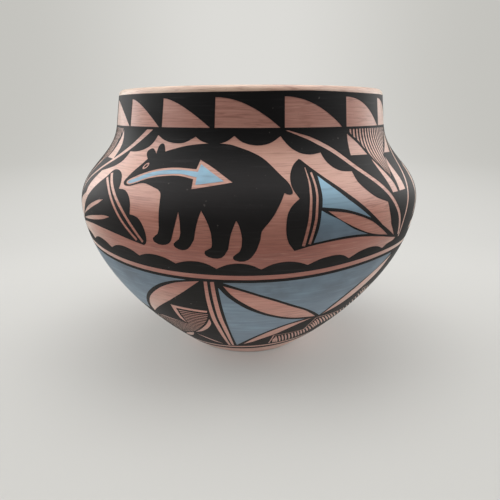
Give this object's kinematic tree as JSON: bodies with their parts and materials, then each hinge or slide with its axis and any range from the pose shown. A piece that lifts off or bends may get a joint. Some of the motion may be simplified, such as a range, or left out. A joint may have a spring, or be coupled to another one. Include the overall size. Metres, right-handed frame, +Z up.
{
  "type": "pottery vase",
  "caption": "Wide-shouldered hollow clay vase with a short upright neck, rounded lip and flat foot, painted in dark and blue slip.",
  "frame": {"origin": "centre of the flat foot, on the surface that the vase stands on", "axes": "+Z up along the pot's axis, -Y towards the painted figure on the front, +X to the right of it"},
  "size_m": [0.242, 0.242, 0.185],
  "materials": {
    "clay": "matte, brushed slip in pale terracotta",
    "black_slip": "matte, brushed on the fired clay",
    "blue_slip": "matte, brushed on the fired clay"
  },
  "bodies": {
    "root": {"clay_body": "clay"}
  },
  "joints": []
}
